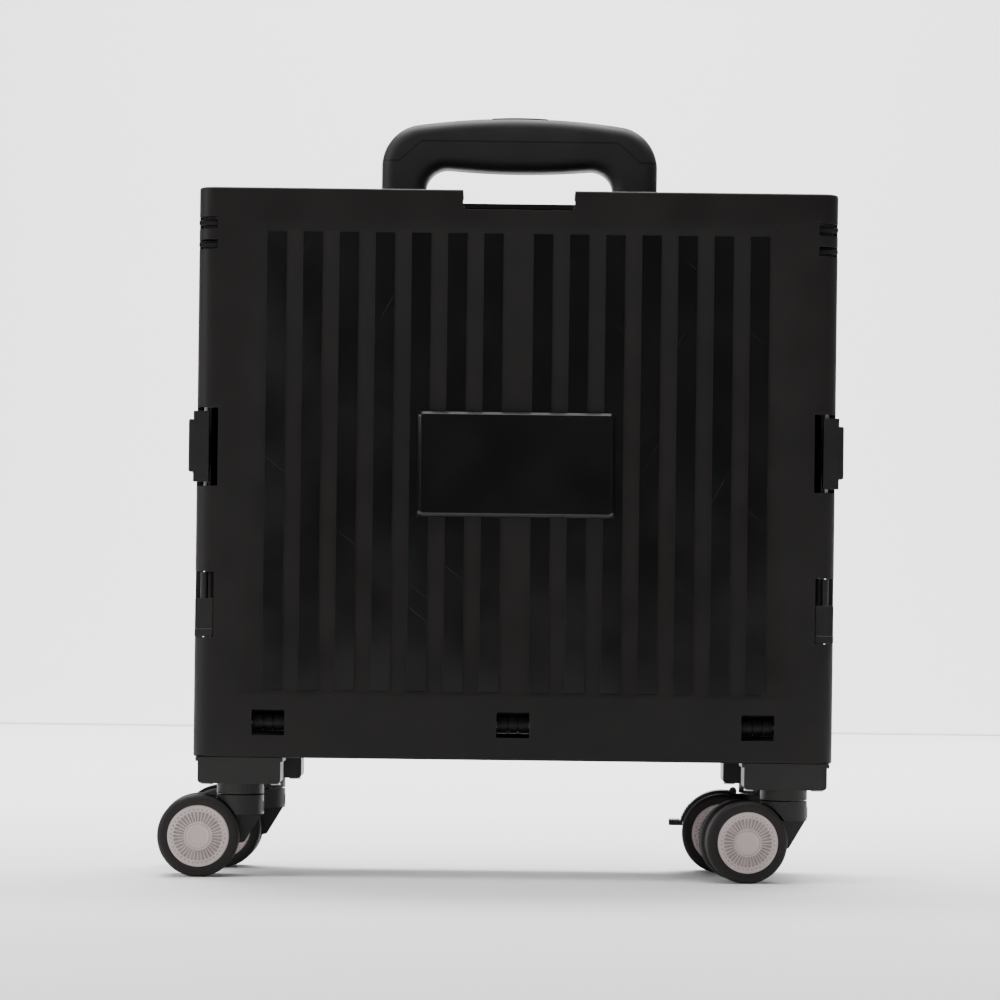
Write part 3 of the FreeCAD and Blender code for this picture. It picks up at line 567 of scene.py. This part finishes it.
def make_tyres(caster):
    """Two tyres: a ring section with quarter-circle shoulders, turned about the axle.

    The middle of the tread is the radius less the positive half of a cosine across it, which
    leaves three shallow grooves. The section is closed through the bore, so each tyre is one
    closed ring.
    """
    corner = 2.9 * MM
    groove_depth = 0.22 * MM
    groove_pitch = 1.7 * MM
    sweep = np.linspace(0, np.pi / 2, 9)
    shoulder_r = WHEEL_R - corner + corner * np.sin(sweep)
    shoulder_y = WHEEL_INNER + corner - corner * np.cos(sweep)
    tread_y = np.linspace(WHEEL_INNER + corner, WHEEL_OUTER - corner, 25)[1:-1]
    wave = np.cos((tread_y - tread_y.mean()) / groove_pitch * 2 * np.pi)
    tread_r = WHEEL_R - groove_depth * np.clip(wave, 0, 1)
    lip_r = RIM_R + np.array([0.5, 0.15, 0, 0, 0.15, 0.5]) * MM
    lip_y = np.concatenate([WHEEL_OUTER - np.array([0, 0.12, 0.4]) * MM,
                            WHEEL_INNER + np.array([0.4, 0.12, 0]) * MM])
    radii = np.concatenate([shoulder_r, tread_r, shoulder_r[::-1], lip_r])
    across = np.concatenate([shoulder_y, tread_y, WHEEL_INNER + WHEEL_OUTER - shoulder_y[::-1],
                             lip_y])
    meshes = [grid_mesh("tyre", turned_about(caster, radii, side * across, 160), True, True)
              for side in (-1, 1)]
    join_meshes(caster + "_tyres_moulded", meshes, caster + "_tyres")


def join_meshes(name, meshes, node):
    """Join closed meshes into one piece that stands for a CAD node, and weld the caps' middles."""
    work = bmesh.new()
    for mesh in meshes:
        work.from_mesh(mesh)
        bpy.data.meshes.remove(mesh)
    bmesh.ops.remove_doubles(work, verts=work.verts, dist=0.0001 * MM)
    bmesh.ops.recalc_face_normals(work, faces=work.faces)
    joined = bpy.data.meshes.new(name)
    work.to_mesh(joined)
    work.free()
    finish_piece(link_piece(name, joined, FINISHES[SLOT_OF[node]][:1]), node)


def make_hubs(caster, petals, depth):
    """Two hub caps, each a closed disc whose face is a height map in polar coordinates.

    Going outwards, in shares of the rim's radius, the face has a dished middle, a ring groove,
    sunk petals that widen to a round end, a ring of sunk dots, one beyond each gap between two
    petals, and a plain rounded rim. All of these but the dish are darkened with painted shade.
    """
    steps = petals * 12
    share = np.concatenate([np.linspace(0, 0.42, 22), np.linspace(0.43, 0.94, 46),
                            np.linspace(0.945, 1.0, 8)])
    angle = np.linspace(0, 2 * np.pi, steps, endpoint=False)
    radius = share[None, :] * np.ones((steps, 1))
    lobe = np.abs(((angle * petals / (2 * np.pi)) % 1.0) - 0.5)[:, None] * 2
    ramp = np.clip((radius - PETAL_IN) / (PETAL_OUT - PETAL_IN), 0, 1)
    half_width = 0.68 + 0.20 * ramp
    outer_end = np.clip((PETAL_OUT - radius) / 0.053, 0, 1)
    inner_end = np.clip((radius - PETAL_IN) / 0.02, 0, 1)
    ends = np.sqrt((1 - (1 - outer_end) ** 2) * (1 - (1 - inner_end) ** 2))
    petal = np.clip((half_width * ends - (1 - lobe)) / 0.2, 0, 1)
    dot = np.clip(1.3 - np.hypot((radius - DOT_RING) / 0.028, lobe / 0.42), 0, 1)
    groove = np.exp(-(((radius - GROOVE_RING) / 0.014) ** 2))
    dish = np.clip((DISH_EDGE - radius) / 0.03, 0, 1)
    # Painted shade: petals, dots and groove are marked for darkening; the same mask also sets how
    # far the face is sunk.
    shaded_recess = np.clip(petal + 0.9 * dot + 0.5 * groove, 0, 1)
    sunk = np.clip(shaded_recess + 0.3 * groove + 0.45 * dish, 0, 1)
    round_over = 0.55 * MM * np.clip((radius - 0.955) / 0.045, 0, 1) ** 2
    height = -depth * sunk - round_over
    back_share = np.broadcast_to([1.0, 1.0, 0.86, 0.84, 0.0], (steps, 5))
    back_inner = WHEEL_INNER + np.array([0.6, 0.6, 2.2, 2.2]) * MM
    back = np.broadcast_to([WHEEL_OUTER - 2.4 * MM, *back_inner], (steps, 5))
    radii = np.concatenate([radius, back_share], 1) * RIM_R
    across = np.concatenate([WHEEL_OUTER - 0.05 * MM + height, back], 1)
    # Painted shade per point: only the face's relief is darkened, the back not at all.
    painted_shade_per_point = np.concatenate([shaded_recess, np.zeros((steps, 5))], 1).ravel()
    meshes = []
    for side in (-1, 1):
        mesh = grid_mesh("hub", turned_about(caster, radii, side * across, steps), True, False)
        mesh.attributes.new("relief", "FLOAT", "POINT").data.foreach_set("value", painted_shade_per_point)
        meshes.append(mesh)
    join_meshes(caster + "_hub_caps", meshes, caster + "_hubs")


class TROLLEY_OT_stage(bpy.types.Operator):
    """A pale floor and backdrop, soft lamps and the camera"""
    bl_idname = "trolley.stage"
    bl_label = "Stage"

    def execute(self, context):
        scene = context.scene
        make_floor(tuple(scene.trolley_colours.floor))
        make_lights(scene)
        make_camera(scene)
        return {"FINISHED"}


def make_floor(colour):
    """A floor that sweeps up into a backdrop: a straight run, a quarter circle and a rise."""
    back = 2.4
    sweep_r = 1.2
    run = np.linspace(-6.0, back, 20)
    bend = np.linspace(0, np.pi / 2, 24)
    rise = np.linspace(1.4, 5.0, 8)
    y = np.concatenate([run, back + sweep_r * np.sin(bend), np.full_like(rise, back + sweep_r)])
    z = np.concatenate([np.zeros_like(run), sweep_r - sweep_r * np.cos(bend), rise])
    x, y = np.meshgrid(np.linspace(-6, 6, 9), y)
    points = np.stack([x, y, np.broadcast_to(z[:, None], x.shape)], -1)
    material, tree, shader, place = new_material("studio_paper")
    mottle = noise(tree, place, 1 / 3, 2.0)
    tree.links.new(blend_colours(tree, mottle, shade(colour, 0.99), shade(colour, 1.01)),
                   shader.inputs["Base Color"])
    shader.inputs["Roughness"].default_value = 0.85
    mesh = grid_mesh("studio_floor", points, False, False)
    link_piece("studio_floor", mesh, [material])


def make_lights(scene):
    """Soft lamps: overhead, well to each side, beside the view, and one for the backdrop."""
    world = bpy.data.worlds.new("studio")
    scene.world = world
    world.use_nodes = True
    background = next(n for n in world.node_tree.nodes if n.type == "BACKGROUND")
    background.inputs["Color"].default_value = (*linear("d8dade"), 1)
    background.inputs["Strength"].default_value = 0.12
    lamps = (                 # name, place, target, size, power
        ("overhead", (0.0, 0.1, 2.6), (0, 0.1, 0), 2.6, 110),
        ("left", (-2.3, -0.7, 1.1), (0, 0, 0.25), 1.2, 30),
        ("right", (2.4, -0.4, 1.4), (0, 0, 0.25), 1.0, 1),
        ("beside_view_left", (-0.72, -2.0, 0.6), (0, 0, 0.25), 0.7, 1.8),
        ("beside_view_right", (0.72, -2.0, 0.5), (0, 0, 0.25), 0.6, 0.5),
        ("backdrop", (0.0, 1.2, 2.7), (0, 3.4, 0.6), 2.4, 270),
    )
    for name, place, target, size, power in lamps:
        data = bpy.data.lights.new(name, "AREA")
        data.size = size
        data.energy = power
        lamp = bpy.data.objects.new(name, data)
        scene.collection.objects.link(lamp)
        lamp.location = place
        lamp.rotation_euler = (Vector(target) - Vector(place)).to_track_quat("-Z", "Y").to_euler()


def make_camera(scene):
    """A level view at a fixed distance, shifted so that the trolley sits as it should."""
    data = bpy.data.cameras.new("camera")
    data.sensor_width = 36
    data.lens = data.sensor_width * CAMERA_DISTANCE / FRAME_WIDTH
    data.shift_x, data.shift_y = CAMERA_SHIFT
    camera = bpy.data.objects.new("camera", data)
    scene.collection.objects.link(camera)
    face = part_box("rear_panel")[1][1]
    camera.location = (0, -face - CAMERA_DISTANCE, CAMERA_HEIGHT)
    camera.rotation_euler = (math.radians(90), math.radians(CAMERA_ROLL), 0)
    scene.camera = camera


# ---- registration and the run -------------------------------------------------------
class TROLLEY_PT_panel(bpy.types.Panel):
    """Lists the trolley's sizes, colours and operators"""
    bl_label = "Trolley"
    bl_idname = "TROLLEY_PT_panel"
    bl_space_type = "VIEW_3D"
    bl_region_type = "UI"
    bl_category = "Trolley"

    def draw(self, context):
        for group in (context.scene.trolley_sizes, context.scene.trolley_colours):
            for name in group.__annotations__:
                self.layout.prop(group, name)
        for operator in OPERATORS:
            self.layout.operator(operator.bl_idname)


OPERATORS = (TROLLEY_OT_panels, TROLLEY_OT_label, TROLLEY_OT_clips, TROLLEY_OT_handle,
             TROLLEY_OT_metalwork, TROLLEY_OT_forks, TROLLEY_OT_wheels, TROLLEY_OT_stage)
CLASSES = (TrolleySizes, TrolleyColours, *OPERATORS, TROLLEY_PT_panel)


def register():
    for kind in CLASSES:
        bpy.utils.register_class(kind)
    bpy.types.Scene.trolley_sizes = PointerProperty(type=TrolleySizes)
    bpy.types.Scene.trolley_colours = PointerProperty(type=TrolleyColours)


def unregister():
    del bpy.types.Scene.trolley_colours
    del bpy.types.Scene.trolley_sizes
    for kind in reversed(CLASSES):
        bpy.utils.unregister_class(kind)


def main():
    register()
    make_finishes(bpy.context.scene)
    bpy.ops.trolley.panels()
    bpy.ops.trolley.label()
    bpy.ops.trolley.clips()
    bpy.ops.trolley.handle()
    bpy.ops.trolley.metalwork()
    bpy.ops.trolley.forks()
    bpy.ops.trolley.wheels()
    bpy.ops.trolley.stage()


if __name__ == "__main__":
    main()
